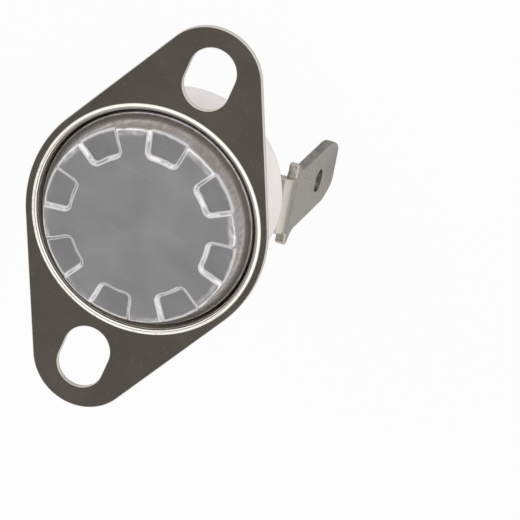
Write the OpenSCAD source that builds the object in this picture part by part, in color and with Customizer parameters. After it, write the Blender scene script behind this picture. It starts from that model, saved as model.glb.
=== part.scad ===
// Snap-action thermostat with a ceramic body, a drawn sensing cap, a loose two-ear flange and two
// tab terminals. Millimetres. The origin is the centre of the sensing face, +Z points out of that
// face, and X runs along the flange's ears.

/* [Layout] */
// Turn of the body and its terminals against the flange ears, degrees
body_turn = 13; // [-45:1:45]

/* [Ceramic body] */
// Radius of the body below its collar
body_r = 7.4; // [7.2:0.1:8.2]
// Depth from the sensing face to the body's underside
body_depth = 11.3; // [11:0.1:13.5]
// Wall around the inner space
wall_t = 1.5; // [1.2:0.1:1.6]
// Floor that carries the terminals
floor_t = 2.1; // [1.8:0.1:2.4]
// Rounding of the underside's edge
body_edge_r = 0.9; // [0.4:0.1:1.2]
// Step of the collar that the cap is rolled under
collar_step = 0.25; // [0.2:0.05:0.4]

/* [Sensing cap] */
// Sheet thickness of the cap
cap_t = 0.3; // [0.2:0.05:0.35]
// Depth of the cap, face to rolled edge
cap_depth = 3.4; // [3.2:0.1:3.8]
// Radius of the curve that blends the sloping side into the bead
bead_blend_r = 2; // [1.8:0.1:2.2]
// Height of the straight bead above the rolled edge
bead_h = 1.1; // [0.8:0.1:1.2]
// Slope of the cap's side from upright, degrees
side_slope = 20.5; // [18.5:0.5:26]
// Rounding of the face's edge
face_edge_r = 0.6; // [0.4:0.05:0.7]
// Rounding of the rolled edge
roll_r = 0.35; // [0.2:0.05:0.5]

/* [Pressed pads] */
// Number of pads
pad_count = 8; // [6:1:10]
// Depth of a pad below the face
pad_depth = 0.3; // [0.2:0.05:0.35]
// Radius of a pad's inner wall at half depth
pad_inner_r = 5.3; // [5.1:0.1:5.7]
// Half the angle that a pad spans at half depth, degrees
pad_half_angle = 12; // [8:0.5:14]
// Run of a pad's sloping wall
pad_wall_run = 0.5; // [0.2:0.05:0.6]
// Turn of the first pad against the body, degrees
pad_turn = -8.4; // [-22:0.2:22]

/* [Bimetal disc and guide] */
// Diameter of the snap disc
disc_d = 12.7; // [12.4:0.1:12.8]
// Thickness of the snap disc
disc_t = 0.22; // [0.15:0.01:0.3]
// Rise of the disc's dome
disc_dome = 0.25; // [0.15:0.05:0.3]
// Room for the disc's rim between the pads and the guide
disc_play = 0.05; // [0.02:0.01:0.08]
// Depth of the guide's recess under the disc
guide_recess = 0.45; // [0.4:0.05:0.6]
// Depth of the guide's seat, measured from the sensing face
seat_depth = 2.3; // [2.2:0.1:2.5]
// Depth of the body's top rim, measured from the sensing face
rim_depth = 1.7; // [1.6:0.1:1.8]
// Length of the guide's boss below its seat
guide_boss_h = 2; // [1.5:0.1:2.2]
// Radius of the guide's boss
guide_boss_r = 2.2; // [1.8:0.1:2.6]

/* [Switch] */
// Radius of the transfer pin
pin_r = 0.85; // [0.6:0.05:1]
// Gap between the disc and the pin
pin_gap = 0.13; // [0.08:0.01:0.16]
// Depth of the pin's lower end and of the contact arm's top face
arm_depth = 6.6; // [6.4:0.1:7]
// Thickness of the contact arm
arm_t = 0.15; // [0.1:0.01:0.2]
// Width of the contact arm
arm_w = 2.4; // [2:0.1:2.8]
// Distance of the contacts from the axis
contact_y = 3.4; // [3.1:0.1:3.6]
// Radius of a contact
contact_r = 1.1; // [0.8:0.1:1.2]
// Height of the moving contact's head
moving_contact_h = 0.4; // [0.3:0.05:0.5]
// Height of the fixed contact's head
fixed_contact_h = 0.5; // [0.4:0.05:0.5]
// Radius of a contact's shank
contact_shank_r = 0.5; // [0.4:0.05:0.6]
// Height of the swaged end of a contact's shank
contact_swage_h = 0.15; // [0.1:0.05:0.25]
// Thickness of the contact carrier's strip
carrier_t = 0.4; // [0.3:0.05:0.5]
// Width of the contact carrier's strip
carrier_w = 3; // [2.4:0.1:3.2]
// Distance from the axis to the carrier's outer face
carrier_y = 5.55; // [5.4:0.05:5.6]
// Distance from the axis to the end of the carrier's upper leg
carrier_leg_y = 1.9; // [1.6:0.1:2]
// Distance of the fixed terminal's rivet from the axis
fixed_rivet_y = 3.2; // [3:0.1:3.3]
// Distance of the spring terminal's rivet from the axis
spring_rivet_y = 4.2; // [4:0.1:4.3]

/* [Rivets] */
// Radius of a rivet's shank
rivet_r = 0.8; // [0.6:0.05:0.9]
// Radius of a rivet's head
rivet_head_r = 1.25; // [1.2:0.05:1.35]
// Height of a rivet's head
rivet_head_h = 0.5; // [0.3:0.05:0.6]
// Radius of the hollow in a rivet's clenched end
rivet_hollow_r = 0.45; // [0.3:0.05:0.5]
// Depth of that hollow
rivet_hollow_h = 1; // [0.6:0.1:1.4]

/* [Terminals] */
// Sheet thickness of a terminal
terminal_t = 0.8; // [0.5:0.05:0.8]
// Width of the blade
blade_w = 4.8; // [4.2:0.1:5.2]
// Width over the lugs at the blade's upper end
shoulder_w = 6.4; // [5.6:0.1:6.6]
// Height of a lug's straight end
lug_h = 0.25; // [0.2:0.05:0.5]
// Height over which a lug slopes back to the blade
lug_slope_h = 1; // [0.5:0.1:1.2]
// Width of the neck and the foot
neck_w = 4.4; // [3.8:0.1:4.6]
// Distance from the axis to the blade's outer face
blade_y = 7.75; // [7.6:0.05:8.2]
// Depth of the blade's tip, measured from the sensing face
tip_depth = 22.8; // [20.4:0.2:24]
// Outer radius of the bend
bend_r = 0.85; // [0.85:0.05:1.2]
// Width of the chamfers at the tip
tip_chamfer_w = 1; // [0.6:0.1:1.4]
// Height of the chamfers at the tip
tip_chamfer_h = 2.2; // [0.6:0.1:2.6]
// Diameter of the hole in the blade
blade_hole_d = 1.75; // [1.2:0.05:1.9]
// Distance of the hole's centre from the tip
blade_hole_up = 4.35; // [3.5:0.05:5]

/* [Flange] */
// Sheet thickness of the flange
flange_t = 0.4; // [0.3:0.05:0.5]
// Distance of the flange's top face below the sensing face
flange_drop = 1.6; // [1.4:0.1:2]
// Distance between the two slots
slot_pitch = 24; // [23.4:0.1:26]
// Width of a slot
slot_w = 3.54; // [3:0.02:3.6]
// Length of a slot
slot_l = 4.82; // [4.4:0.02:5.2]
// Radius of an ear
ear_r = 3.9; // [3.7:0.1:4.4]
// Radius of the plate around the cup
plate_r = 9.2; // [9.2:0.1:10.4]
// Thickness of the gap between the cap's bead and the cup's wall
cup_gap = 0.3; // [0.2:0.05:0.4]
// Rounding of the cup's mouth
mouth_r = 0.7; // [0.55:0.05:0.75]
// Rounding of the cup's lower edge
cup_edge_r = 0.8; // [0.6:0.1:0.9]

/* [Clearances] */
// Radial running clearance of the flange on the body
flange_clear = 0.09; // [0.05:0.01:0.1]
// Axial running clearance between the flange and the cap's rolled edge
lip_clear = 0.05; // [0.02:0.01:0.2]
// Radial clearance of the cap and the guide on the body
collar_fit = 0.05; // [0.03:0.01:0.08]
// Radial clearance of the pin in the guide
pin_clear = 0.05; // [0.03:0.01:0.08]
// Radial clearance of a rivet or a contact's shank in its hole
shank_clear = 0.02; // [0.01:0.01:0.04]

/* [Hidden] */
$fn = 96;
over = 1;

// Radii shared by the cap, the body and the flange
mouth_under_r = mouth_r - flange_t;
cup_inner_edge_r = cup_edge_r - flange_t;
collar_r = body_r + collar_step;
bead_r = collar_r + collar_fit + cap_t;
cup_r = bead_r + cup_gap;
lip_r = body_r + flange_clear;
cavity_r = body_r - wall_t;
collar_bottom = -(cap_depth - cap_t);

// Radii and levels shared by the disc, the guide and the body's seat
pad_bottom = -(pad_depth + cap_t);
guide_rim_z = pad_bottom - disc_play - disc_t;
guide_floor_z = guide_rim_z - guide_recess;
guide_rim_margin = 0.35;
guide_r = disc_d / 2 + guide_rim_margin;
guide_recess_r = disc_d / 2 - 2 * guide_rim_margin;
seat_r = guide_r + collar_fit;

// Levels of the switch
floor_z = -body_depth + floor_t;
pin_top_z = guide_rim_z + disc_dome - pin_gap;
arm_bottom_z = -arm_depth - arm_t;
leg_bottom_z = -arm_depth + moving_contact_h + fixed_contact_h;
leg_top_z = leg_bottom_z + carrier_t;
post_r = 1.9;

// Levels of the terminals
foot_bottom_z = -body_depth - terminal_t;
shoulder_z = -body_depth - bend_r;

module on_body() {
    rotate([0, 0, body_turn]) children();
}

// Area in the right half plane under the cap's surface, moved inwards by "inset"
module cap_area(inset, bottom) {
    blend_c = [bead_r - bead_blend_r, -(cap_depth - bead_h)];
    normal = [cos(side_slope), sin(side_slope)];
    edge_x = blend_c[0] + (bead_blend_r - face_edge_r
             + (face_edge_r + blend_c[1]) * normal[1]) / normal[0];
    edge_c = [edge_x, -face_edge_r];
    reach = 2 * bead_blend_r;
    polygon([[0, bottom], [bead_r - inset, bottom], [bead_r - inset, blend_c[1]],
             blend_c + (bead_blend_r - inset) * normal, edge_c + (face_edge_r - inset) * normal,
             [edge_x, -inset], [0, -inset]]);
    intersection() {
        translate(blend_c) circle(bead_blend_r - inset, $fn = 4 * $fn);
        translate(blend_c) polygon([[0, 0], [reach, 0], reach * normal]);
    }
    translate(edge_c) circle(face_edge_r - inset);
}

// Half space on the inner side of one of a pad's sloping side walls
module pad_side(side) {
    reach = 2 * bead_r;
    tilt = atan(pad_wall_run / pad_depth);
    rotate([0, 0, side * pad_half_angle]) translate([0, 0, -pad_depth / 2])
        rotate([-side * tilt, 0, 0]) translate([0, side > 0 ? -reach : 0, -reach / 2])
        cube([reach, reach, reach]);
}

// Solid of one pressed pad's hollow, from its floor up to "top"
module pad_hollow(top) {
    rise = top + pad_depth / 2;
    intersection() {
        rotate_extrude() polygon([
            [pad_inner_r + pad_wall_run / 2, -pad_depth],
            [pad_inner_r - rise * pad_wall_run / pad_depth, top],
            [bead_r, top], [bead_r, -pad_depth]]);
        pad_side(1);
        pad_side(-1);
    }
}

module pads() {
    for (i = [0 : pad_count - 1]) rotate([0, 0, pad_turn + i * 360 / pad_count]) children();
}

module sensing_cap() {
    on_body() color("silver") difference() {
        union() {
            rotate_extrude() difference() {
                cap_area(0, -cap_depth);
                cap_area(cap_t, collar_bottom);
                translate([0, -cap_depth - over]) square([body_r + collar_fit, cap_t + over]);
                difference() {
                    translate([bead_r - roll_r, -cap_depth - over]) square([over, roll_r + over]);
                    translate([bead_r - roll_r, -cap_depth + roll_r]) circle(roll_r);
                }
            }
            intersection() {
                translate([0, 0, -cap_t]) pads() pad_hollow(0);
                rotate_extrude() cap_area(0, -cap_depth);
            }
        }
        pads() pad_hollow(over);
    }
}

// Waist and ear circles joined by straight edges, a hair inside the tangents to cross both circles
module plate_outline() {
    ear_x = slot_pitch / 2;
    hair = 0.002;
    lean = (plate_r - ear_r) / ear_x;
    tangent = [lean, sqrt(1 - lean * lean)];
    waist = (plate_r - hair) * tangent;
    tip = [ear_x, 0] + (ear_r - hair) * tangent;
    circle(plate_r, $fn = 4 * $fn);
    for (side = [0, 180]) rotate(side) {
        translate([ear_x, 0]) circle(ear_r);
        polygon([[0, 0], waist, tip, [tip[0], -tip[1]], [waist[0], -waist[1]]]);
    }
}

module slot() {
    half = (slot_l - slot_w) / 2;
    square([2 * half, slot_w], center = true);
    for (x = [-half, half]) translate([x, 0]) circle(slot_w / 2);
}

// Area between the walls that meet at [corner_x, 0] and a circle that touches both of them
module rounded_corner(corner_x, r) {
    hair = 0.002;
    difference() {
        translate([corner_x - hair, -r]) square([r + hair, r + hair]);
        translate([corner_x + r, -r]) circle(r);
    }
}

module mounting_flange() {
    lip_top = -cap_depth - lip_clear;
    lip_bottom = lip_top - flange_t;
    wall_r = cup_r + flange_t;
    color("dimgray") difference() {
        union() {
            translate([0, 0, -flange_drop - flange_t]) linear_extrude(flange_t) plate_outline();
            translate([0, 0, lip_bottom]) cylinder(h = -flange_drop - lip_bottom, r = wall_r);
            translate([0, 0, -flange_drop - flange_t]) rotate_extrude()
                rounded_corner(wall_r, mouth_under_r);
        }
        translate([0, 0, lip_bottom - over]) cylinder(h = 2 * cap_depth, r = lip_r);
        translate([0, 0, lip_top]) rotate_extrude() difference() {
            square([cup_r, cap_depth]);
            translate([cup_r, 0]) mirror([1, 0]) mirror([0, 1]) rounded_corner(0, cup_inner_edge_r);
        }
        translate([0, 0, -flange_drop]) rotate_extrude() rounded_corner(cup_r, mouth_r);
        rotate_extrude() difference() {
            translate([wall_r - cup_edge_r, lip_bottom - over]) square([over, cup_edge_r + over]);
            translate([wall_r - cup_edge_r, lip_bottom + cup_edge_r]) circle(cup_edge_r);
        }
        for (side = [-1, 1]) translate([side * slot_pitch / 2, 0, -flange_drop - flange_t - over])
            linear_extrude(flange_t + 2 * over) slot();
    }
}

module ceramic_base() {
    rim_r = (seat_r + collar_r) / 2;
    on_body() color("ivory") difference() {
        union() {
            rotate_extrude() difference() {
                polygon([[0, -body_depth], [body_r, -body_depth], [body_r, collar_bottom],
                         [collar_r, collar_bottom], [collar_r, -seat_depth], [rim_r, -rim_depth],
                         [seat_r, -rim_depth], [seat_r, -seat_depth], [cavity_r, -seat_depth],
                         [cavity_r, floor_z], [0, floor_z]]);
                difference() {
                    translate([body_r - body_edge_r, -body_depth - over])
                        square([body_edge_r + over, body_edge_r + over]);
                    translate([body_r - body_edge_r, -body_depth + body_edge_r])
                        circle(body_edge_r);
                }
            }
            translate([0, -spring_rivet_y, floor_z - over])
                cylinder(h = arm_bottom_z - floor_z + over, r = post_r);
        }
        for (y = [fixed_rivet_y, -spring_rivet_y]) translate([0, y, -body_depth - over])
            cylinder(h = body_depth, r = rivet_r + shank_clear);
    }
}

module guide_plate() {
    on_body() color("linen") difference() {
        union() {
            translate([0, 0, -seat_depth]) cylinder(h = seat_depth + guide_rim_z, r = guide_r);
            translate([0, 0, -seat_depth - guide_boss_h])
                cylinder(h = guide_boss_h + cap_t, r = guide_boss_r);
        }
        translate([0, 0, guide_floor_z]) cylinder(h = over, r = guide_recess_r);
        translate([0, 0, -arm_depth]) cylinder(h = arm_depth, r = pin_r + pin_clear);
    }
}

// Domed by the arc through the rim's radius and the rise of the dome
module bimetal_disc() {
    disc_r = disc_d / 2;
    arc_r = (disc_r * disc_r + disc_dome * disc_dome) / (2 * disc_dome);
    centre_z = guide_rim_z + disc_dome - arc_r;
    on_body() color("goldenrod") rotate_extrude() intersection() {
        difference() {
            translate([0, centre_z + disc_t]) circle(arc_r, $fn = 16 * $fn);
            translate([0, centre_z]) circle(arc_r, $fn = 16 * $fn);
        }
        translate([0, guide_rim_z - disc_t]) square([disc_r, 2 * disc_t + disc_dome]);
    }
}

module transfer_pin() {
    end_r = pin_r / 4;
    on_body() color("white") rotate_extrude() {
        translate([0, -arm_depth]) square([pin_r, arm_depth + pin_top_z - end_r]);
        translate([0, -arm_depth]) square([pin_r - end_r, arm_depth + pin_top_z]);
        intersection() {
            translate([pin_r - end_r, pin_top_z - end_r]) circle(end_r);
            translate([0, -arm_depth]) square([pin_r, arm_depth + pin_top_z]);
        }
    }
}

module contact_arm() {
    eye_r = arm_w / 2 + 0.2;
    on_body() color("peru") translate([0, 0, arm_bottom_z]) linear_extrude(arm_t) difference() {
        union() {
            translate([-arm_w / 2, -spring_rivet_y]) square([arm_w, spring_rivet_y + contact_y]);
            for (y = [-spring_rivet_y, contact_y]) translate([0, y]) circle(eye_r);
        }
        translate([0, -spring_rivet_y]) circle(rivet_r + shank_clear);
        translate([0, contact_y]) circle(contact_shank_r + shank_clear);
    }
}

// Head from z = 0 upwards, and a shank with a swaged end through a strip below it
module contact_button(head_h, strip_t) {
    rotate_extrude() {
        difference() {
            square([contact_r, head_h]);
            difference() {
                translate([contact_r - head_h / 4, head_h * 3 / 4]) square(head_h);
                translate([contact_r - head_h / 4, head_h * 3 / 4]) circle(head_h / 4);
            }
        }
        translate([0, -strip_t - contact_swage_h])
            square([contact_shank_r, strip_t + contact_swage_h + head_h / 2]);
        translate([0, -strip_t - contact_swage_h])
            square([contact_shank_r + contact_swage_h, contact_swage_h]);
    }
}

module moving_contact() {
    on_body() color("lightgray") translate([0, contact_y, -arm_depth])
        contact_button(moving_contact_h, arm_t);
}

module fixed_contact() {
    on_body() color("lightgray") translate([0, contact_y, leg_bottom_z])
        rotate([180, 0, 0]) contact_button(fixed_contact_h, carrier_t);
}

// Area of a strip that turns a corner: it fills x < 0 and y < 0 of the outer corner at the origin
module bent_corner(outer_r, strip_t) {
    intersection() {
        translate([-outer_r, -outer_r]) difference() {
            circle(outer_r);
            circle(outer_r - strip_t);
        }
        translate([-outer_r, -outer_r]) square(outer_r);
    }
}

module contact_carrier() {
    bend = 2 * carrier_t;
    foot_y = fixed_rivet_y - carrier_w / 2;
    leg_end_r = carrier_w / 2;
    on_body() color("tan") difference() {
        translate([-carrier_w / 2, 0, 0]) rotate([90, 0, 90]) linear_extrude(carrier_w) {
            translate([foot_y, floor_z]) square([carrier_y - bend - foot_y, carrier_t]);
            translate([carrier_leg_y, leg_bottom_z])
                square([carrier_y - bend - carrier_leg_y, carrier_t]);
            translate([carrier_y - carrier_t, floor_z + bend])
                square([carrier_t, leg_top_z - floor_z - 2 * bend]);
            translate([carrier_y, leg_top_z]) bent_corner(bend, carrier_t);
            translate([carrier_y, floor_z]) mirror([0, 1]) bent_corner(bend, carrier_t);
        }
        translate([0, fixed_rivet_y, floor_z - over])
            cylinder(h = 2 * over, r = rivet_r + shank_clear);
        translate([0, contact_y, leg_bottom_z - over / 2])
            cylinder(h = 2 * over, r = contact_shank_r + shank_clear);
    }
}

// Blade, neck and foot for the side of +Y, with the foot's eye at "rivet_y"
module terminal(rivet_y) {
    difference() {
        union() {
            translate([0, rivet_y, foot_bottom_z]) cylinder(h = terminal_t, d = neck_w);
            translate([-neck_w / 2, 0, 0]) rotate([90, 0, 90]) linear_extrude(neck_w) {
                translate([rivet_y, foot_bottom_z])
                    square([blade_y - bend_r - rivet_y, terminal_t]);
                translate([blade_y, -body_depth]) bent_corner(bend_r, terminal_t);
                translate([blade_y - terminal_t, shoulder_z - over])
                    square([terminal_t, over]);
            }
            translate([0, blade_y, -tip_depth]) rotate([90, 0, 0]) linear_extrude(terminal_t)
                blade_outline(shoulder_z + tip_depth);
        }
        translate([0, rivet_y, foot_bottom_z - over])
            cylinder(h = 2 * over, r = rivet_r + shank_clear);
        translate([0, 0, -tip_depth + blade_hole_up]) rotate([-90, 0, 0])
            cylinder(h = 2 * blade_y, d = blade_hole_d);
    }
}

// Tab from its chamfered tip at the origin up to the two lugs at "blade_h"
module blade_outline(blade_h) {
    lug_bottom = blade_h - lug_h;
    for (side = [0, 1]) mirror([side, 0]) polygon([
        [-over, blade_h], [shoulder_w / 2, blade_h], [shoulder_w / 2, lug_bottom],
        [blade_w / 2, lug_bottom - lug_slope_h], [blade_w / 2, tip_chamfer_h],
        [blade_w / 2 - tip_chamfer_w, 0], [-over, 0]]);
}

module fixed_terminal() {
    on_body() color("darkgray") terminal(fixed_rivet_y);
}

module spring_terminal() {
    on_body() color("darkgray") rotate([0, 0, 180]) terminal(spring_rivet_y);
}

// Domed head under the terminal's foot, shank, and a hollow clenched end above "top"
module rivet(top) {
    rotate_extrude() difference() {
        union() {
            translate([0, foot_bottom_z - rivet_head_h])
                square([rivet_r, top - foot_bottom_z + 2 * rivet_head_h]);
            for (z = [foot_bottom_z - rivet_head_h, top])
                translate([0, z]) square([rivet_head_r, rivet_head_h]);
        }
        for (end = [[foot_bottom_z, -1], [top, 1]])
            translate([rivet_head_r - rivet_head_h / 2, end[0] + end[1] * rivet_head_h / 2])
            mirror([0, end[1] < 0 ? 1 : 0]) difference() {
                square(rivet_head_h);
                circle(rivet_head_h / 2);
            }
        translate([0, top + rivet_head_h - rivet_hollow_h])
            square([rivet_hollow_r, rivet_hollow_h + over]);
    }
}

module fixed_terminal_rivet() {
    on_body() color("gainsboro") translate([0, fixed_rivet_y, 0]) rivet(floor_z + carrier_t);
}

module spring_terminal_rivet() {
    on_body() color("gainsboro") translate([0, -spring_rivet_y, 0]) rivet(-arm_depth);
}

sensing_cap();
mounting_flange();
ceramic_base();
guide_plate();
bimetal_disc();
transfer_pin();
contact_arm();
moving_contact();
fixed_contact();
contact_carrier();
fixed_terminal();
spring_terminal();
fixed_terminal_rivet();
spring_terminal_rivet();
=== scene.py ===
import math

import bmesh
import bpy
from mathutils import Matrix, Vector, noise


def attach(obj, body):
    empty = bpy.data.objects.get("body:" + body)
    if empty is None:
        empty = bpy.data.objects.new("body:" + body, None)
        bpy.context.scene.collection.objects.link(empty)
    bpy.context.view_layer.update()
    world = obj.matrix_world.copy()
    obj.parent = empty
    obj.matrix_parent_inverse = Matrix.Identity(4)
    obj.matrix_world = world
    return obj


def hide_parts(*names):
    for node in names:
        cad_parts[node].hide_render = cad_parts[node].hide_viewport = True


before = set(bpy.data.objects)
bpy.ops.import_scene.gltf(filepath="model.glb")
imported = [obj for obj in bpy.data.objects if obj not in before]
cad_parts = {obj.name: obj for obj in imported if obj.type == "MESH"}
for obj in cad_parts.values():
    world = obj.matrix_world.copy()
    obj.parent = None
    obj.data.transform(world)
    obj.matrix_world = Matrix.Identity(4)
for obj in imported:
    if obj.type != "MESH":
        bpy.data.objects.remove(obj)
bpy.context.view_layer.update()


# Ceramic body: a cup of white unglazed ceramic, pressed and fired in one piece. The collar at its
# mouth is what the sensing cap is rolled under, and its thick floor carries the terminals.
# Sizes are in millimetres, with heights below the cap's face, and MM turns them into metres.
MM = 0.001
BODY_TURN = math.radians(13)
BODY_R = 7.4
BASE_Z = -11.3
COLLAR_R = 7.65
COLLAR_LOW_Z = -3.1
COLLAR_TOP_Z = -2.3
RIM_R = 7.2
RIM_Z = -1.7
PLATE_SEAT_R = 6.75
CAVITY_R = 5.9
CAVITY_FLOOR_Z = -9.2
WALL_WAVE = 0.016


def lathe(corners, steps, spacing=None, closed=True):
    """Wall turned about Z. A corner is its radius, its height and where its rounding starts, in mm,
    and spacing gives the longest edge at a radius and height. An eighth of the turn is spun and
    doubled three times."""
    bm = bmesh.new()
    points = [bm.verts.new((r * MM, 0, z * MM)) for r, z, _ in corners]
    for start, end in zip(points, points[1:]):
        bm.edges.new((start, end))
    if closed and corners[0][0] > 0:
        bm.edges.new((points[-1], points[0]))
    for point, (_, _, rounding) in zip(points, corners):
        if rounding:
            bmesh.ops.bevel(bm, geom=[point], offset=rounding * MM, offset_type="OFFSET",
                            segments=5 + int(12 * rounding), profile=0.5, affect="VERTICES",
                            material=-1)
    if spacing:
        for edge in list(bm.edges):
            middle = (edge.verts[0].co + edge.verts[1].co) / 2 / MM
            cuts = int(edge.calc_length() / MM / spacing(middle.x, middle.z))
            if cuts:
                bmesh.ops.subdivide_edges(bm, edges=[edge], cuts=cuts)
    bmesh.ops.spin(bm, geom=bm.verts[:] + bm.edges[:], cent=(0, 0, 0), axis=(0, 0, 1),
                   angle=math.pi / 4, steps=steps // 8)
    for turn in (math.pi / 4, math.pi / 2, math.pi):
        copy = bmesh.ops.duplicate(bm, geom=bm.verts[:] + bm.edges[:] + bm.faces[:])["geom"]
        bmesh.ops.rotate(bm, verts=[g for g in copy if isinstance(g, bmesh.types.BMVert)],
                         cent=(0, 0, 0), matrix=Matrix.Rotation(turn, 3, "Z"))
    bmesh.ops.remove_doubles(bm, verts=bm.verts, dist=1e-7)
    bmesh.ops.recalc_face_normals(bm, faces=bm.faces)
    return bm


def add_piece(name, bm, body, nodes, material, turn=BODY_TURN, rounding=None):
    """Puts the piece in the scene, turned about Z. With a rounding, in mm, its edges are rounded by
    their weights, and without one they stay sharp where they turn by more than 55 degrees."""
    bm.transform(Matrix.Rotation(turn, 4, "Z"))
    mesh = bpy.data.meshes.new(name)
    bm.to_mesh(mesh)
    bm.free()
    mesh.shade_smooth()
    mesh.materials.append(material)
    piece = bpy.data.objects.new(name, mesh)
    bpy.context.scene.collection.objects.link(piece)
    if rounding:
        rounded = piece.modifiers.new("rounded_edges", "BEVEL")
        rounded.limit_method, rounded.width, rounded.segments = "WEIGHT", rounding * MM, 3
        rounded.use_clamp_overlap = False
    else:
        mesh.set_sharp_from_angle(angle=math.radians(55))
    weighted = piece.modifiers.new("flat_faces_stay_flat", "WEIGHTED_NORMAL")
    weighted.keep_sharp = True
    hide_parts(*nodes)
    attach(piece, body)


def blank_material(name, colour, metallic, roughness):
    """Plain material and its shader, to which a finish then links its patterns."""
    material = bpy.data.materials.new(name)
    material.use_nodes = True
    shader = material.node_tree.nodes["Principled BSDF"]
    shader.inputs["Base Color"].default_value = (*colour, 1)
    shader.inputs["Metallic"].default_value = metallic
    shader.inputs["Roughness"].default_value = roughness
    return material, shader


def grain(material, scale, detail=4.0, stretch=(1, 1, 1)):
    """Noise on the piece's own coordinates, with scale in grains per metre."""
    nodes, links = material.node_tree.nodes, material.node_tree.links
    place = nodes.new("ShaderNodeTexCoord")
    mapping = nodes.new("ShaderNodeMapping")
    mapping.inputs["Scale"].default_value = stretch
    texture = nodes.new("ShaderNodeTexNoise")
    texture.inputs["Scale"].default_value = scale
    texture.inputs["Detail"].default_value = detail
    texture.inputs["Roughness"].default_value = 0.55
    links.new(place.outputs["Object"], mapping.inputs["Vector"])
    links.new(mapping.outputs["Vector"], texture.inputs["Vector"])
    return texture.outputs["Fac"]


def graded(material, source, *stops):
    """Colour ramp on a pattern. A stop is a position and a colour, or one number for a grey."""
    ramp = material.node_tree.nodes.new("ShaderNodeValToRGB")
    material.node_tree.links.new(source, ramp.inputs["Fac"])
    elements = ramp.color_ramp.elements
    while len(elements) < len(stops):
        elements.new(0.5)
    for element, (position, colour) in zip(elements, stops):
        element.position = position
        element.color = (*colour, 1) if isinstance(colour, tuple) else (colour, colour, colour, 1)
    return ramp.outputs["Color"]


def mixed(material, amount, first, second, blend="MIX"):
    """Blend of two colours, two patterns or one of each. The amount is a number or a pattern."""
    node = material.node_tree.nodes.new("ShaderNodeMix")
    node.data_type = "RGBA"
    node.blend_type = blend
    links = material.node_tree.links
    for socket, value in (("Factor", amount), ("A", first), ("B", second)):
        place = [s for s in node.inputs if s.name == socket and s.enabled][0]
        if hasattr(value, "is_linked"):
            links.new(value, place)
        elif isinstance(value, tuple):
            place.default_value = (*value, 1)
        else:
            place.default_value = value
    return [s for s in node.outputs if s.enabled][0]


def bumped(material, shader, height, distance, strength=1.0, after=None):
    """Raises the surface by a pattern, up to a distance in metres, on top of another bump."""
    bump = material.node_tree.nodes.new("ShaderNodeBump")
    bump.inputs["Distance"].default_value = distance
    bump.inputs["Strength"].default_value = strength
    links = material.node_tree.links
    links.new(height, bump.inputs["Height"])
    if after:
        links.new(after, bump.inputs["Normal"])
    links.new(bump.outputs["Normal"], shader.inputs["Normal"])
    return bump.outputs["Normal"]


def by_height(material, low, high, below, above):
    """Goes from one value below the height low to another above the height high, both in mm."""
    nodes, links = material.node_tree.nodes, material.node_tree.links
    split = nodes.new("ShaderNodeSeparateXYZ")
    links.new(nodes.new("ShaderNodeTexCoord").outputs["Object"], split.inputs["Vector"])
    scale = nodes.new("ShaderNodeMapRange")
    for socket, value in (("From Min", low * MM), ("From Max", high * MM), ("To Min", below),
                          ("To Max", above)):
        scale.inputs[socket].default_value = value
    links.new(split.outputs["Z"], scale.inputs["Value"])
    return scale.outputs["Result"]


def fired_ceramic(name, dark, light):
    """Matt ceramic, faintly clouded and specked, with a fine grain left by the press."""
    material, shader = blank_material(name, light, 0.0, 0.5)
    links = material.node_tree.links
    cloud = graded(material, grain(material, 300, 3), (0.35, dark), (0.65, light))
    specks = graded(material, grain(material, 5200, 2), (0.70, 0.0), (0.78, 1.0))
    links.new(mixed(material, specks, cloud, (0.42, 0.37, 0.32)), shader.inputs["Base Color"])
    links.new(graded(material, grain(material, 1500), (0.3, 0.42), (0.7, 0.6)),
              shader.inputs["Roughness"])
    coarse = bumped(material, shader, grain(material, 700, 3), 0.00004, 0.35)
    bumped(material, shader, grain(material, 6000, 3), 0.00001, 0.5, coarse)
    return material


body_ceramic = fired_ceramic("body_ceramic", (0.79, 0.76, 0.75), (0.85, 0.82, 0.81))
body = lathe([(0, BASE_Z, 0), (BODY_R, BASE_Z, 0.9), (BODY_R, COLLAR_LOW_Z, 0.08),
              (COLLAR_R, COLLAR_LOW_Z, 0.06), (COLLAR_R, COLLAR_TOP_Z, 0.1), (RIM_R, RIM_Z, 0.12),
              (PLATE_SEAT_R, RIM_Z, 0.06), (PLATE_SEAT_R, COLLAR_TOP_Z, 0.1),
              (CAVITY_R, COLLAR_TOP_Z, 0.08), (CAVITY_R, CAVITY_FLOOR_Z, 0.3),
              (0, CAVITY_FLOOR_Z, 0)], 256,
             lambda radius, height: 0.45 if radius > RIM_R + 0.1 else 1.2)
for v in body.verts:
    if v.co.z < (COLLAR_LOW_Z - 0.4) * MM and v.co.xy.length > (BODY_R - 0.8) * MM:
        v.co += v.normal * WALL_WAVE * MM * noise.noise(v.co * 420)
add_piece("body", body, "body", ["ceramic_base"], body_ceramic)


# Tab terminals: nickel-plated sheet, 0.8 mm thick, blanked with two lugs above a 4.8 mm blade and
# bent down through a right angle under the edge of the body. A rivet holds the foot. Blanking has
# rounded their edges. The blade's edges and hole are coloured a darker grey than the plated faces,
# partly the duller sheared metal and partly painted shade for the dark they mirror.
SHEET = 0.8
NECK = 2.2
LUG = 3.2
LUG_HEIGHT = 0.4
LUG_SLOPE = 0.85
BLADE = 2.4
OUTER_Y = 7.75
BEND_R = 0.85
SHOULDER_Z = BASE_Z - BEND_R
STRAIGHT_Z = SHOULDER_Z - LUG_HEIGHT - LUG_SLOPE
TIP_Z = -22.8
CHAMFER = (0.85, 1.8)
HOLE_R = 0.875
HOLE_Z = TIP_Z + 4.35
EDGE_R = 0.16
FIXED_RIVET_Y = 3.2
SPRING_RIVET_Y = 4.2


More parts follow.
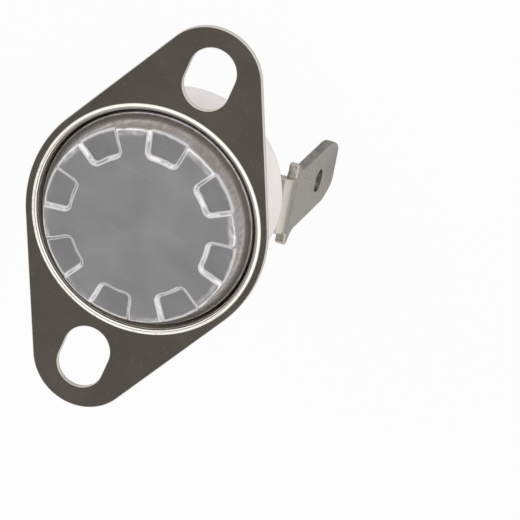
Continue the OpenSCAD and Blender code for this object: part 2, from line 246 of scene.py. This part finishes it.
def cut(bm, cutters):
    """The solid bm less the cutters, which are solids too."""
    blank = bpy.data.objects.new("blank", bpy.data.meshes.new("blank"))
    bm.to_mesh(blank.data)
    bm.free()
    bpy.context.scene.collection.objects.link(blank)
    tools = []
    for cutter in cutters:
        tool = bpy.data.objects.new("cutter", bpy.data.meshes.new("cutter"))
        cutter.to_mesh(tool.data)
        cutter.free()
        bpy.context.scene.collection.objects.link(tool)
        step = blank.modifiers.new("cut", "BOOLEAN")
        step.operation, step.solver, step.object = "DIFFERENCE", "EXACT", tool
        tools.append(tool)
    left = bmesh.new()
    left.from_mesh(blank.evaluated_get(bpy.context.evaluated_depsgraph_get()).to_mesh())
    for used in [blank, *tools]:
        mesh = used.data
        bpy.data.objects.remove(used)
        bpy.data.meshes.remove(mesh)
    bmesh.ops.remove_doubles(left, verts=left.verts, dist=1e-7)
    return left


def rod(radius, start, end, segments=48):
    """Round solid from start to end along their common axis, in mm."""
    bm = bmesh.new()
    start, end = Vector(start) * MM, Vector(end) * MM
    way = (end - start).to_track_quat("Z", "Y").to_matrix().to_4x4()
    bmesh.ops.create_cone(bm, cap_ends=True, segments=segments, radius1=radius * MM,
                          radius2=radius * MM, depth=(end - start).length,
                          matrix=Matrix.Translation((start + end) / 2) @ way)
    return bm


def block(low, high):
    """Box between two opposite corners, in mm."""
    bm = bmesh.new()
    low, high = Vector(low) * MM, Vector(high) * MM
    bmesh.ops.create_cube(bm, size=1, matrix=Matrix.Translation((low + high) / 2)
                          @ Matrix.Diagonal((*(high - low), 1)))
    return bm


def faces_towards(bm, way, pick=lambda centre: True):
    """The faces that look along way and whose middle, in mm, is picked."""
    return [f for f in bm.faces if f.normal.dot(Vector(way)) > 0.99
            and pick(f.calc_center_median() / MM)]


def draw_out(bm, faces, move, squeeze=(1, 1, 1)):
    """Extrudes the faces by move, in mm, and scales the new end about its middle."""
    new = bmesh.ops.extrude_face_region(bm, geom=faces)["geom"]
    bmesh.ops.delete(bm, geom=[f for f in faces if f.is_valid], context="FACES_ONLY")
    verts = [g for g in new if isinstance(g, bmesh.types.BMVert)]
    bmesh.ops.translate(bm, verts=verts, vec=Vector(move) * MM)
    middle = sum((v.co for v in verts), Vector()) / len(verts)
    bmesh.ops.scale(bm, verts=verts, vec=squeeze, space=Matrix.Translation(-middle))
    bm.normal_update()


def round_corner(bm, x, z, offset):
    """Rounds the two corners at x and -x of a flat outline, seen along Y."""
    corners = [e for e in bm.edges if abs(e.verts[0].co.y - e.verts[1].co.y) > SHEET * MM / 2
               and all(abs(abs(v.co.x) / MM - x) < 0.02 and abs(v.co.z / MM - z) < 0.02
                       for v in e.verts)]
    bmesh.ops.bevel(bm, geom=corners, offset=offset * MM, offset_type="OFFSET", segments=6,
                    profile=0.5, affect="EDGES", material=-1)


def tab_terminal(rivet_y):
    """Terminal on the side of +Y, with the foot's round eye at rivet_y. The foot is bent down into
    the neck, which widens to the lugs and narrows to the blade."""
    bm = block((-NECK, rivet_y - NECK, BASE_Z - SHEET), (NECK, OUTER_Y - BEND_R, BASE_Z))
    eye = [e for e in bm.edges if all(v.co.y < rivet_y * MM for v in e.verts)
           and abs(e.verts[0].co.z - e.verts[1].co.z) > SHEET * MM / 2]
    bmesh.ops.bevel(bm, geom=eye, offset=(NECK - 0.01) * MM, offset_type="OFFSET", segments=20,
                    profile=0.5, affect="EDGES", material=-1)
    end = faces_towards(bm, (0, 1, 0))
    ring = list({e for f in end for e in f.edges}) + list({v for f in end for v in f.verts}) + end
    bmesh.ops.spin(bm, geom=ring, axis=(1, 0, 0), angle=-math.pi / 2, steps=12,
                   cent=(0, (OUTER_Y - BEND_R) * MM, SHOULDER_Z * MM))
    bm.normal_update()
    neck = faces_towards(bm, (0, 0, -1),
                         lambda c: c.z < SHOULDER_Z + 0.01 and c.y > OUTER_Y - SHEET)
    draw_out(bm, neck, (0, 0, -LUG_HEIGHT))
    for side in (-1, 1):
        flank = faces_towards(bm, (side, 0, 0), lambda c: c.z < SHOULDER_Z - 0.05)
        draw_out(bm, flank, (side * (LUG - NECK), 0, 0))
    bmesh.ops.remove_doubles(bm, verts=bm.verts, dist=1e-7)
    for fall, squeeze in ((LUG_SLOPE, BLADE / LUG), (STRAIGHT_Z - TIP_Z - CHAMFER[1], 1),
                          (CHAMFER[1], (BLADE - CHAMFER[0]) / BLADE)):
        low = min(v.co.z for v in bm.verts) / MM
        end = faces_towards(bm, (0, 0, -1), lambda c: c.z < low + 0.01)
        draw_out(bm, end, (0, 0, -fall), (squeeze, 1, 1))
    bmesh.ops.dissolve_limit(bm, angle_limit=0.001, verts=bm.verts, edges=bm.edges)
    for x, z, offset in ((NECK, SHOULDER_Z, 0.3), (LUG, SHOULDER_Z, 0.25),
                         (LUG, SHOULDER_Z - LUG_HEIGHT, 0.14), (BLADE, STRAIGHT_Z, 0.4),
                         (BLADE, TIP_Z + CHAMFER[1], 0.8), (BLADE - CHAMFER[0], TIP_Z, 0.6)):
        round_corner(bm, x, z, offset)
    bmesh.ops.recalc_face_normals(bm, faces=bm.faces)
    edges = [e for e in bm.edges if math.degrees(e.calc_face_angle(0)) > 40]
    bmesh.ops.bevel(bm, geom=edges, offset=EDGE_R * MM, offset_type="OFFSET", segments=4,
                    profile=0.5, affect="EDGES", material=-1)
    bm = cut(bm, [rod(HOLE_R, (0, OUTER_Y - 3 * SHEET, HOLE_Z), (0, OUTER_Y + SHEET, HOLE_Z))])
    bm.normal_update()
    mark_sheared_and_shaded(bm)
    return bm


def mark_sheared_and_shaded(bm):
    """Marks how dark each corner of a face is painted: 0 on the flat sides, up to 1 on the sheared
    edges and half in the hole, partly for the sheared metal's dullness and partly as painted shade.
    """
    dull = bm.loops.layers.float.new("dull")
    for face in bm.faces:
        in_hole = all(math.hypot(v.co.x, v.co.z - HOLE_Z * MM) < (HOLE_R + 0.025) * MM
                      for v in face.verts)
        is_flat = abs(face.normal.y) >= 0.99
        for corner in face.loops:
            edge = min(max(abs(corner.vert.normal.x) * 1.6 - 0.6, 0), 1)
            corner[dull] = 0.5 if in_hole else 0 if is_flat else edge


def plated_nickel(name, dark, light, rough, along):
    """Plated sheet with painted glints in pale specks, handling marks and faint rolling lines. The
    rolling lines run along the axis with the small stretch."""
    material, shader = blank_material(name, light, 1.0, rough[0])
    links = material.node_tree.links
    cloud = graded(material, grain(material, 160, 2), (0.35, dark), (0.65, light))
    specks = graded(material, grain(material, 4200, 2), (0.66, 0.0), (0.71, 1.0))
    # Painted glints: the pale specks take a colour a quarter above the light tone.
    glint = tuple(1.25 * level for level in light)
    links.new(mixed(material, specks, cloud, glint), shader.inputs["Base Color"])
    links.new(graded(material, grain(material, 420), (0.3, rough[0]), (0.7, rough[1])),
              shader.inputs["Roughness"])
    lines = bumped(material, shader, grain(material, 9000, 2, along), 0.000003, 0.3)
    bumped(material, shader, grain(material, 900, 3), 0.00001, 0.2, lines)
    return material, shader


def laid_over(material, shader, socket, amount, finish):
    """Covers what feeds the shader's socket with another finish, by the amount."""
    under = shader.inputs[socket].links[0].from_socket
    material.node_tree.links.new(mixed(material, amount, under, finish), shader.inputs[socket])


def blanked_and_shaded_nickel():
    """Plated nickel, darkened where it is marked and below the lugs, partly to the dull grey of
    sheared metal and partly as painted shade.
    """
    material, shader = plated_nickel("terminal_nickel", (0.49, 0.47, 0.425),
                                     (0.555, 0.53, 0.485), (0.21, 0.31), (1, 1, 0.04))
    nodes, links = material.node_tree.nodes, material.node_tree.links
    dull = nodes.new("ShaderNodeAttribute")
    dull.attribute_name = "dull"
    # Painted shade, partly real: a dark grey for the marked edges and hole, standing partly for
    # sheared metal and partly for the dark they mirror.
    sheared = graded(material, grain(material, 2600, 3, (1, 1, 0.4)),
                     (0.35, (0.20, 0.19, 0.175)), (0.65, (0.35, 0.335, 0.31)))
    amount = nodes.new("ShaderNodeMath")
    amount.operation = "MULTIPLY"
    links.new(dull.outputs["Fac"], amount.inputs[0])
    links.new(by_height(material, SHOULDER_Z - 2.0, SHOULDER_Z - 1.2, 1.0, 0.0), amount.inputs[1])
    laid_over(material, shader, "Base Color", amount.outputs[0], sheared)
    return material


terminal_nickel = blanked_and_shaded_nickel()
add_piece("fixed_tab", tab_terminal(FIXED_RIVET_Y), "body", ["fixed_terminal"],
          terminal_nickel)
add_piece("spring_tab", tab_terminal(SPRING_RIVET_Y), "body", ["spring_terminal"],
          terminal_nickel, BODY_TURN + math.pi)


# Terminal rivets: plated, with a domed head under each terminal's foot and a hollow end that is
# clenched inside the body, over the carrier on one side and over the contact arm on the other.
RIVET_HEAD_R = 1.25
RIVET_HEAD_H = 0.5
DIMPLE_R = 0.35
DIMPLE_H = 0.06
SHANK_R = 0.8
HOLLOW_R = 0.45
HOLLOW_DEPTH = 1.0
CARRIER_TOP_Z = -8.8
ARM_FOOT_TOP_Z = -6.6


def rivet(top):
    """Rivet on the axis, with its clenched end on the surface at the height top."""
    foot = BASE_Z - SHEET
    head = foot - RIVET_HEAD_H
    clenched = top + RIVET_HEAD_H
    bottom = clenched - HOLLOW_DEPTH
    return lathe([(0, head + DIMPLE_H, 0), (DIMPLE_R, head, 0.1), (RIVET_HEAD_R, head, 0.38),
                  (RIVET_HEAD_R, foot, 0.06), (SHANK_R, foot, 0.02), (SHANK_R, top, 0.02),
                  (RIVET_HEAD_R, top, 0.06), (RIVET_HEAD_R, clenched, 0.25),
                  (HOLLOW_R, clenched, 0.1), (HOLLOW_R, bottom, 0.1), (0, bottom, 0)], 64)


rivet_nickel, _ = plated_nickel("rivet_nickel", (0.58, 0.55, 0.50), (0.66, 0.63, 0.57),
                                (0.24, 0.36), (1, 1, 1))
for name, node, y, top in (
        ("fixed_rivet", "fixed_terminal_rivet", FIXED_RIVET_Y, CARRIER_TOP_Z),
        ("spring_rivet", "spring_terminal_rivet", -SPRING_RIVET_Y, ARM_FOOT_TOP_Z)):
    placed = rivet(top)
    bmesh.ops.translate(placed, verts=placed.verts, vec=(0, y * MM, 0))
    add_piece(name, placed, "body", [node], rivet_nickel)


# Switch: a brass carrier and a springy copper arm, each with a silver contact swaged into it, the
# domed bimetal disc, the ceramic pin between disc and arm, and the ceramic plate that guides the
# pin. They are sealed inside the body and keep their solids.
def sprung_strip(name, dark, light, rough):
    """Rolled strip of one metal, with fine rolling lines."""
    material, shader = blank_material(name, light, 1.0, rough)
    links = material.node_tree.links
    links.new(graded(material, grain(material, 500, 3), (0.3, dark), (0.7, light)),
              shader.inputs["Base Color"])
    bumped(material, shader, grain(material, 8000, 2, (1, 0.05, 1)), 0.000003, 0.5)
    return material


switch_finishes = {
    "contact_carrier": sprung_strip("carrier_brass", (0.58, 0.42, 0.16), (0.66, 0.49, 0.21), 0.32),
    "contact_arm": sprung_strip("spring_copper", (0.60, 0.30, 0.14), (0.68, 0.37, 0.19), 0.3),
    "moving_contact": sprung_strip("contact_silver", (0.70, 0.68, 0.64), (0.80, 0.79, 0.76), 0.3),
    "transfer_pin": fired_ceramic("guide_ceramic", (0.74, 0.71, 0.66), (0.80, 0.77, 0.72)),
    "bimetal_disc": sprung_strip("disc_bimetal", (0.36, 0.33, 0.27), (0.44, 0.41, 0.35), 0.35),
}
switch_finishes["fixed_contact"] = switch_finishes["moving_contact"]
switch_finishes["guide_plate"] = switch_finishes["transfer_pin"]
for node, finish in switch_finishes.items():
    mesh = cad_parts[node].data
    mesh.materials.clear()
    mesh.materials.append(finish)


# Sensing cap: drawn from 0.3 mm aluminium sheet, with a flat face, a sloping side that ends in a
# small ledge, and a lip rolled in under the body's collar. Eight pads are pressed down into the
# face's edge to hold the snap disc. Their floors carry painted shade and their walls painted
# glints, and the side a painted dark band that stands in for shade and the flange's reflection.
CAP_T = 0.3
CAP_R = 8.0
LIP_R = 7.45
LIP_Z = -3.4
FACE_R = 6.82
SLOPE_TOP = (7.26, -0.06)
SLOPE_FOOT = (7.9, -1.8)
LEDGE_Z = -1.86
INSIDE_TOP_R = 7.067
INSIDE_FOOT_Z = -1.993
MID_WALL_R = 7.115
SIDE_SLOPE = 0.374
PLAIN_R = 4.7
PAD_COUNT = 8
PAD_DEPTH = 0.3
PAD_INNER = 5.3
PAD_FLAT_R = 7.1
PAD_HALF_ANGLE = math.radians(12)
PAD_TURN = math.radians(-8.4)
PAD_WALL = 0.3
PAD_CORNER = 0.42
FACE_WAVE = 0.004
RIM_WAVE = 0.028
WALL_CRINKLE = 0.055


def pressed(radius, angle):
    """How far the press reaches at a point of the face, from 0 outside a pad to 1 on its floor."""
    spacing = 2 * math.pi / PAD_COUNT
    off = abs((angle - PAD_TURN + spacing / 2) % spacing - spacing / 2)
    inner = radius - PAD_INNER
    side = radius * math.sin(PAD_HALF_ANGLE - off)
    inside = min(inner, side)
    if inner < PAD_CORNER and side < PAD_CORNER:
        inside = PAD_CORNER - math.hypot(PAD_CORNER - inner, PAD_CORNER - side)
    share = min(max(inside / PAD_WALL + 0.5, 0), 1)
    return share * share * (3 - 2 * share)


def press_pads(bm):
    """Presses both skins down. Each pad's floor rounds off where it runs out into the side. The
    middle of the sloping wall, which parts the skins there, is MID_WALL_R at the face's height."""
    for v in bm.verts:
        radius, z = v.co.xy.length / MM, v.co.z / MM
        if radius < PAD_INNER - 0.5 or z < -1.2:
            continue
        is_outer = radius > MID_WALL_R - SIDE_SLOPE * z or z > -CAP_T + 0.01
        flat_r = PAD_FLAT_R if is_outer else PAD_FLAT_R - CAP_T
        floor = -PAD_DEPTH - max(radius - flat_r, 0) ** 2
        share = pressed(radius, math.atan2(v.co.y, v.co.x))
        v.co.z += share * (min(z, floor if is_outer else floor - CAP_T) - z) * MM


def wrinkle_face(bm):
    """Waves the face a little, its rim more, and crinkles the pads' walls."""
    for v in bm.verts:
        if v.co.z < -2.1 * MM:
            continue
        radius = v.co.xy.length / MM
        rim = min(max((radius - FACE_R + 0.22) / 0.5, 0), 1)
        share = pressed(radius, math.atan2(v.co.y, v.co.x)) if radius > PAD_INNER - 0.3 else 0
        wall = 4 * share * (1 - share)
        v.co.z += MM * (FACE_WAVE * noise.noise(v.co * 260)
                        + RIM_WAVE * rim * noise.noise(v.co * 900)
                        + WALL_CRINKLE * max(wall, 0.3 * rim) * noise.noise(v.co * 2300))


cap = lathe([(0, 0, 0), (PLAIN_R, 0, 0), (FACE_R, 0, 0.1), (*SLOPE_TOP, 0.07),
             (*SLOPE_FOOT, 0.05), (CAP_R, LEDGE_Z, 0.04), (CAP_R, LIP_Z, 0.35),
             (LIP_R, LIP_Z, 0.1), (LIP_R, COLLAR_LOW_Z, 0.06), (CAP_R - CAP_T, COLLAR_LOW_Z, 0.03),
             (CAP_R - CAP_T, INSIDE_FOOT_Z, 0.307), (INSIDE_TOP_R, -CAP_T, 0.208),
             (PLAIN_R, -CAP_T, 0), (0, -CAP_T, 0)], 600,
            lambda radius, height: 9 if radius < PLAIN_R or height < SLOPE_FOOT[1] + 0.1
            else 0.055 if height > 0.01 - CAP_T else 0.11)
press_pads(cap)
wrinkle_face(cap)


def scratches(material, stretch, scale):
    """Sparse straight marks along the axis with the small stretch."""
    return graded(material, grain(material, scale, 1, stretch), (0.66, 0.0), (0.70, 1.0))


def height_band(material, low, high, blur):
    """1 between two heights, in mm, and 0 below and above them."""
    return mixed(material, 1.0, by_height(material, low, low + blur, 0.0, 1.0),
                 by_height(material, high - blur, high, 1.0, 0.0), "MULTIPLY")


def drawn_aluminium():
    """Smooth and grey on the face, with painted shade on the pads' floors and painted glints on
    their walls. The side is streaked, and carries a painted dark band above its ledge that stands
    in for the groove's shade and the flange's dark wall mirrored there."""
    material, shader = blank_material("cap_aluminium", (0.66, 0.655, 0.665), 1.0, 0.3)
    links = material.node_tree.links
    cloud = graded(material, grain(material, 350, 3), (0.3, (0.61, 0.605, 0.615)),
                   (0.7, (0.66, 0.655, 0.665)))
    # Painted shade: the pads' floors are dimmed to 0.78 of the face's tone.
    pad_floor_shade = by_height(material, -0.28, -0.15, 0.6, 0.0)
    pad_walls = height_band(material, -0.27, -0.04, 0.05)
    side = by_height(material, -0.6, -0.4, 1.0, 0.0)

    # Painted glints: patchy near-white colour on the pads' walls.
    glints = graded(material, grain(material, 800, 3), (0.42, (0.5, 0.5, 0.51)),
                    (0.55, (0.97, 0.97, 0.98)))
    streaks = graded(material, grain(material, 2400, 4, (1, 1, 0.1)), (0.36, 0.9), (0.58, 1.21))
    drawn = mixed(material, pad_floor_shade, cloud, (0.78, 0.78, 0.79), "MULTIPLY")
    drawn = mixed(material, pad_walls, drawn, glints)
    drawn = mixed(material, side, drawn, streaks, "MULTIPLY")

    # Painted shade and reflection: a dark brown, less metallic band on the side above the ledge
    # stands in for the groove's shade and the flange's dark wall mirrored there.
    ragged_height = mixed(material, 0.14, by_height(material, -2.2, 0, 0.0, 1.0),
                          grain(material, 1300, 3, (1, 1, 0.4)))
    painted_groove_shade = graded(material, ragged_height, (0.10, 0.5), (0.17, 0.4), (0.19, 0.3), (0.24, 0.3),
                   (0.27, 0.95), (0.42, 0.9), (0.58, 0.1), (1.0, 0.0))
    links.new(mixed(material, painted_groove_shade, drawn, (0.16, 0.145, 0.125)), shader.inputs["Base Color"])
    links.new(graded(material, painted_groove_shade, (0.0, 1.0), (0.9, 0.55)), shader.inputs["Metallic"])

    face_rough = graded(material, grain(material, 300, 3), (0.3, 0.27), (0.7, 0.31))
    face_rough = mixed(material, pad_walls, face_rough, (0.12, 0.12, 0.12))
    side_rough = graded(material, grain(material, 900, 5, (1, 1, 0.25)), (0.3, 0.16), (0.7, 0.34))
    side_rough = mixed(material, 0.5, side_rough, by_height(material, -1.8, -1.0, 0.5, 0.2))
    links.new(mixed(material, by_height(material, -0.55, -0.35, 0.0, 1.0), side_rough,
                    face_rough), shader.inputs["Roughness"])

    dents = bumped(material, shader, grain(material, 1100, 3), 0.00002)
    links.new(by_height(material, -0.3, -0.1, 0.6, 0.05), dents.node.inputs["Strength"])
    scratched = mixed(material, 1.0, scratches(material, (0.9, 0.05, 1), 2600),
                      scratches(material, (0.06, 1, 1), 1900), "LIGHTEN")
    bumped(material, shader, scratched, 0.000004, 0.6, dents)
    return material


add_piece("cap", cap, "body", ["sensing_cap"], drawn_aluminium())


# Mounting flange: one blank of 0.4 mm nickel-plated sheet with a slot in each ear and a cup drawn
# into its middle. The cup's mouth is rolled to a bead that stands just proud of the plate, coloured
# near white as a painted highlight, and the cup hangs loose on the body, caught below the cap's lip.
PLATE_Z = -1.6
PLATE_T = 0.4
WAIST_R = 9.2
EAR_R = 3.9
EAR_X = 12.0
SLOT_R = 1.77
SLOT_HALF = 0.64
MOUTH_R = 8.75
BEAD_R = 8.45
BEAD_H = 0.075
CUP_R = 8.7
CUP_INNER_R = 8.23
CUP_HOLE_R = 7.49
CUP_FLOOR_Z = -3.45
CUP_FINE = 360


def upright_disc(bm, radius, x, low, high, segments):
    """Adds a round solid between two heights, with its axis at x, in mm."""
    bmesh.ops.create_cone(bm, cap_ends=True, segments=segments, radius1=radius * MM,
                          radius2=radius * MM, depth=(high - low) * MM,
                          matrix=Matrix.Translation((x * MM, 0, (low + high) / 2 * MM)))


def wrap(bm):
    """Makes one solid of the discs in bm, with the outline of a belt round them all."""
    hull = bmesh.ops.convex_hull(bm, input=bm.verts)
    bmesh.ops.delete(bm, geom=list({g for g in hull["geom_interior"] + hull["geom_unused"]
                                    if isinstance(g, bmesh.types.BMVert)}), context="VERTS")
    bmesh.ops.dissolve_limit(bm, angle_limit=0.001, verts=bm.verts, edges=bm.edges)


def slot_cutter(x, low, high):
    """Upright solid in the shape of an ear's slot, with its middle at x."""
    bm = bmesh.new()
    for end in (-SLOT_HALF, SLOT_HALF):
        upright_disc(bm, SLOT_R, end, low, high, 96)
    wrap(bm)
    bmesh.ops.translate(bm, verts=bm.verts, vec=(x * MM, 0, 0))
    return bm


def flange_blank():
    """The flat plate, with its two slots and the hole that the cup is joined to."""
    bm = bmesh.new()
    for radius, x, segments in ((WAIST_R, 0, CUP_FINE), (EAR_R, EAR_X, 192),
                                (EAR_R, -EAR_X, 192)):
        upright_disc(bm, radius, x, PLATE_Z - PLATE_T, PLATE_Z, segments)
    wrap(bm)
    low, high = PLATE_Z - 2, PLATE_Z + 1
    return cut(bm, [slot_cutter(-EAR_X, low, high), slot_cutter(EAR_X, low, high),
                    rod(MOUTH_R, (0, 0, low), (0, 0, high), CUP_FINE)])


def weigh_edges(bm, weight, least):
    """Gives each edge that turns by more than the least angle, in degrees, its share of rounding."""
    share = bm.edges.layers.float.new("bevel_weight_edge")
    for edge in bm.edges:
        if len(edge.link_faces) == 2 and math.degrees(edge.calc_face_angle(0)) > least:
            edge[share] = weight(edge)


def flange_with_cup():
    """The blank, joined round its hole to the wall of the cup."""
    plate = flange_blank()
    inner = [f for f in plate.faces if abs(f.normal.z) < 0.1
             and all(v.co.xy.length < (MOUTH_R + 0.01) * MM for v in f.verts)]
    bmesh.ops.delete(plate, geom=inner, context="FACES_ONLY")
    under = PLATE_Z - PLATE_T
    cup = lathe([(MOUTH_R, PLATE_Z, 0), (MOUTH_R - 0.03, PLATE_Z, 0.02),
                 (BEAD_R, PLATE_Z + BEAD_H, 0.05), (CUP_INNER_R, PLATE_Z - 0.02, 0.15),
                 (CUP_INNER_R, CUP_FLOOR_Z, 0.4), (CUP_HOLE_R, CUP_FLOOR_Z, 0.08),
                 (CUP_HOLE_R, CUP_FLOOR_Z - PLATE_T, 0.08), (CUP_R, CUP_FLOOR_Z - PLATE_T, 0.8),
                 (CUP_R, under, 0.3), (MOUTH_R, under, 0)], CUP_FINE, closed=False)
    cup_mesh = bpy.data.meshes.new("cup")
    cup.to_mesh(cup_mesh)
    cup.free()
    plate.from_mesh(cup_mesh)
    bpy.data.meshes.remove(cup_mesh)
    bmesh.ops.remove_doubles(plate, verts=plate.verts, dist=0.01 * MM)
    bmesh.ops.recalc_face_normals(plate, faces=plate.faces)

    def rounding_share(edge):
        if any(v.co.xy.length < (MOUTH_R + 0.1) * MM for v in edge.verts):
            return 0
        return 1 if all(v.co.z > (PLATE_Z - 0.01) * MM for v in edge.verts) else 0.4

    weigh_edges(plate, rounding_share, 60)
    return plate


def rolled_nickel():
    """Mirror bright plate, with a near-white colour on the bead round the mouth and on the plate's
    edges that paints their highlight over the roll's burnish, and a dull wall inside the cup whose
    painted shade darkens with depth and lightens towards the mouth."""
    material, shader = plated_nickel("flange_nickel", (0.375, 0.335, 0.29), (0.45, 0.405, 0.35),
                                     (0.10, 0.16), (0.03, 1, 1))
    plate_low, plate_high = PLATE_Z - 0.35, PLATE_Z - 0.1
    in_cup = by_height(material, plate_low, plate_high, 1.0, 0.0)
    # Painted highlight over the roll's burnish: the bead and the plate's edges take a near-white
    # colour, and only the plate's flat top keeps the plated tone.
    bead = mixed(material, 1.0, by_height(material, PLATE_Z - 0.03, PLATE_Z - 0.005, 1.0, 0.0),
                 by_height(material, PLATE_Z + 0.005, PLATE_Z + 0.02, 0.0, 1.0), "LIGHTEN")
    # Painted shade: the cup's inner wall goes from a lighter tan near the mouth to dark brown deeper
    # down.
    wall = mixed(material, by_height(material, PLATE_Z - 1.4, PLATE_Z - 0.6, 1.0, 0.0),
                 (0.60, 0.54, 0.46), (0.28, 0.25, 0.215))
    laid_over(material, shader, "Base Color", bead, (0.95, 0.91, 0.85))
    laid_over(material, shader, "Base Color", in_cup, wall)
    laid_over(material, shader, "Roughness", in_cup, (0.4, 0.4, 0.4))
    material.node_tree.links.new(by_height(material, plate_low, plate_high, 0.4, 1.0),
                                 shader.inputs["Metallic"])
    return material


add_piece("flange", flange_with_cup(), "flange", ["mounting_flange"],
          rolled_nickel(), 0, 0.06)


# Studio: a pale floor just under the tab tips, a soft tent of light with a dark patch overhead, and
# two soft lamps. The camera stands where the photograph was taken, looking down on the cap.
FLOOR_SIZE = 3000
FLOOR_Z = TIP_Z - 0.02
FLOOR_GREY = 0.5
FLOOR_WHITE = 0.95


def studio_floor():
    """Grey to the part's light, with its shadow, and all but white to the camera."""
    bm = bmesh.new()
    bmesh.ops.create_grid(bm, x_segments=1, y_segments=1, size=FLOOR_SIZE * MM,
                          matrix=Matrix.Translation((0, 0, FLOOR_Z * MM)))
    mesh = bpy.data.meshes.new("floor")
    bm.to_mesh(mesh)
    bm.free()
    floor = bpy.data.objects.new("floor", mesh)
    bpy.context.scene.collection.objects.link(floor)
    material = bpy.data.materials.new("floor_white")
    material.use_nodes = True
    nodes, links = material.node_tree.nodes, material.node_tree.links
    nodes.clear()
    out = nodes.new("ShaderNodeOutputMaterial")
    plain = nodes.new("ShaderNodeBsdfDiffuse")
    plain.inputs["Color"].default_value = (FLOOR_GREY, FLOOR_GREY, FLOOR_GREY, 1)
    white = nodes.new("ShaderNodeEmission")
    white.inputs["Strength"].default_value = 1.0
    path = nodes.new("ShaderNodeLightPath")
    share = nodes.new("ShaderNodeMath")
    share.operation = "MULTIPLY"
    share.inputs[1].default_value = FLOOR_WHITE
    mix = nodes.new("ShaderNodeMixShader")
    links.new(path.outputs["Is Camera Ray"], share.inputs[0])
    links.new(share.outputs[0], mix.inputs["Fac"])
    links.new(plain.outputs[0], mix.inputs[1])
    links.new(white.outputs[0], mix.inputs[2])
    links.new(mix.outputs[0], out.inputs["Surface"])
    mesh.materials.append(material)


PATCH_WAY = (-0.47, 0.183, 0.863)
CAMERA_SIDE = (0.932, -0.363, 0)
FAR_LEVELS = ((0.0, 0.3), (0.45, 0.35), (0.68, 0.85), (0.8, 1.5), (0.9, 1.5), (0.945, 0.4),
              (0.985, 0.23), (1.0, 0.2))
NEAR_LEVELS = ((0.0, 1.0), (0.8, 1.25), (0.9, 1.1), (0.95, 0.45), (0.985, 0.23), (1.0, 0.2))


def light_tent():
    """White all round but for a dark patch, which the flat faces mirror to the camera, and dimmer
    low down on the side across from the camera. Levels go by the nearness to the patch's middle."""
    world = bpy.data.worlds.new("tent")
    bpy.context.scene.world = world
    world.use_nodes = True
    nodes, links = world.node_tree.nodes, world.node_tree.links
    nodes.clear()
    out = nodes.new("ShaderNodeOutputWorld")
    place = nodes.new("ShaderNodeTexCoord")
    along = []
    for way in (PATCH_WAY, CAMERA_SIDE):
        dot = nodes.new("ShaderNodeVectorMath")
        dot.operation = "DOT_PRODUCT"
        dot.inputs[1].default_value = way
        links.new(place.outputs["Generated"], dot.inputs[0])
        along.append(dot.outputs["Value"])
    to_patch, to_camera = along
    far, near = [graded(world, to_patch, *[(position, (level, level * 0.985, level * 0.97))
                                           for position, level in levels])
                 for levels in (FAR_LEVELS, NEAR_LEVELS)]
    side = nodes.new("ShaderNodeMapRange")
    side.interpolation_type = "SMOOTHSTEP"
    side.inputs["From Min"].default_value = -0.85
    side.inputs["From Max"].default_value = -0.4
    links.new(to_camera, side.inputs["Value"])
    tent = nodes.new("ShaderNodeBackground")
    white = nodes.new("ShaderNodeBackground")
    white.inputs["Color"].default_value = (1, 1, 1, 1)
    path = nodes.new("ShaderNodeLightPath")
    mix = nodes.new("ShaderNodeMixShader")
    links.new(mixed(world, side.outputs["Result"], far, near), tent.inputs["Color"])
    links.new(path.outputs["Is Camera Ray"], mix.inputs["Fac"])
    links.new(tent.outputs[0], mix.inputs[1])
    links.new(white.outputs[0], mix.inputs[2])
    links.new(mix.outputs[0], out.inputs["Surface"])


LAMP_DISTANCE = 0.5


def soft_lamp(name, azimuth, height, size, power):
    """Square lamp turned to the part, at an azimuth and height in degrees, with its size in metres
    and its power in watts. The metals don't mirror it, as its image would turn flat faces white."""
    data = bpy.data.lights.new(name, "AREA")
    data.shape, data.size, data.energy = "SQUARE", size, power
    lamp = bpy.data.objects.new(name, data)
    lamp.visible_glossy = False
    azimuth, height = math.radians(azimuth), math.radians(height)
    way = Vector((math.cos(azimuth) * math.cos(height), math.sin(azimuth) * math.cos(height),
                  math.sin(height)))
    turn = way.to_track_quat("Z", "Y").to_matrix().to_4x4()
    lamp.matrix_world = Matrix.Translation(way * LAMP_DISTANCE) @ turn
    bpy.context.scene.collection.objects.link(lamp)


studio_floor()
light_tent()
soft_lamp("key", -55, 35, 0.22, 0.6)
soft_lamp("fill", 70, 35, 0.25, 0.4)

CAMERA_LENS = 386.3
CAMERA_PLACE = (0.166735, -0.06512, 0.356219)
CAMERA_TURN = (-18.7796, 18.3169, -66.0943)
camera = bpy.data.objects.new("camera", bpy.data.cameras.new("camera"))
camera.data.lens = CAMERA_LENS
camera.data.clip_start = 0.01
camera.data.clip_end = 10
camera.location = CAMERA_PLACE
camera.rotation_euler = [math.radians(angle) for angle in CAMERA_TURN]
bpy.context.scene.collection.objects.link(camera)
bpy.context.scene.camera = camera
bpy.context.scene.view_settings.view_transform = "Standard"
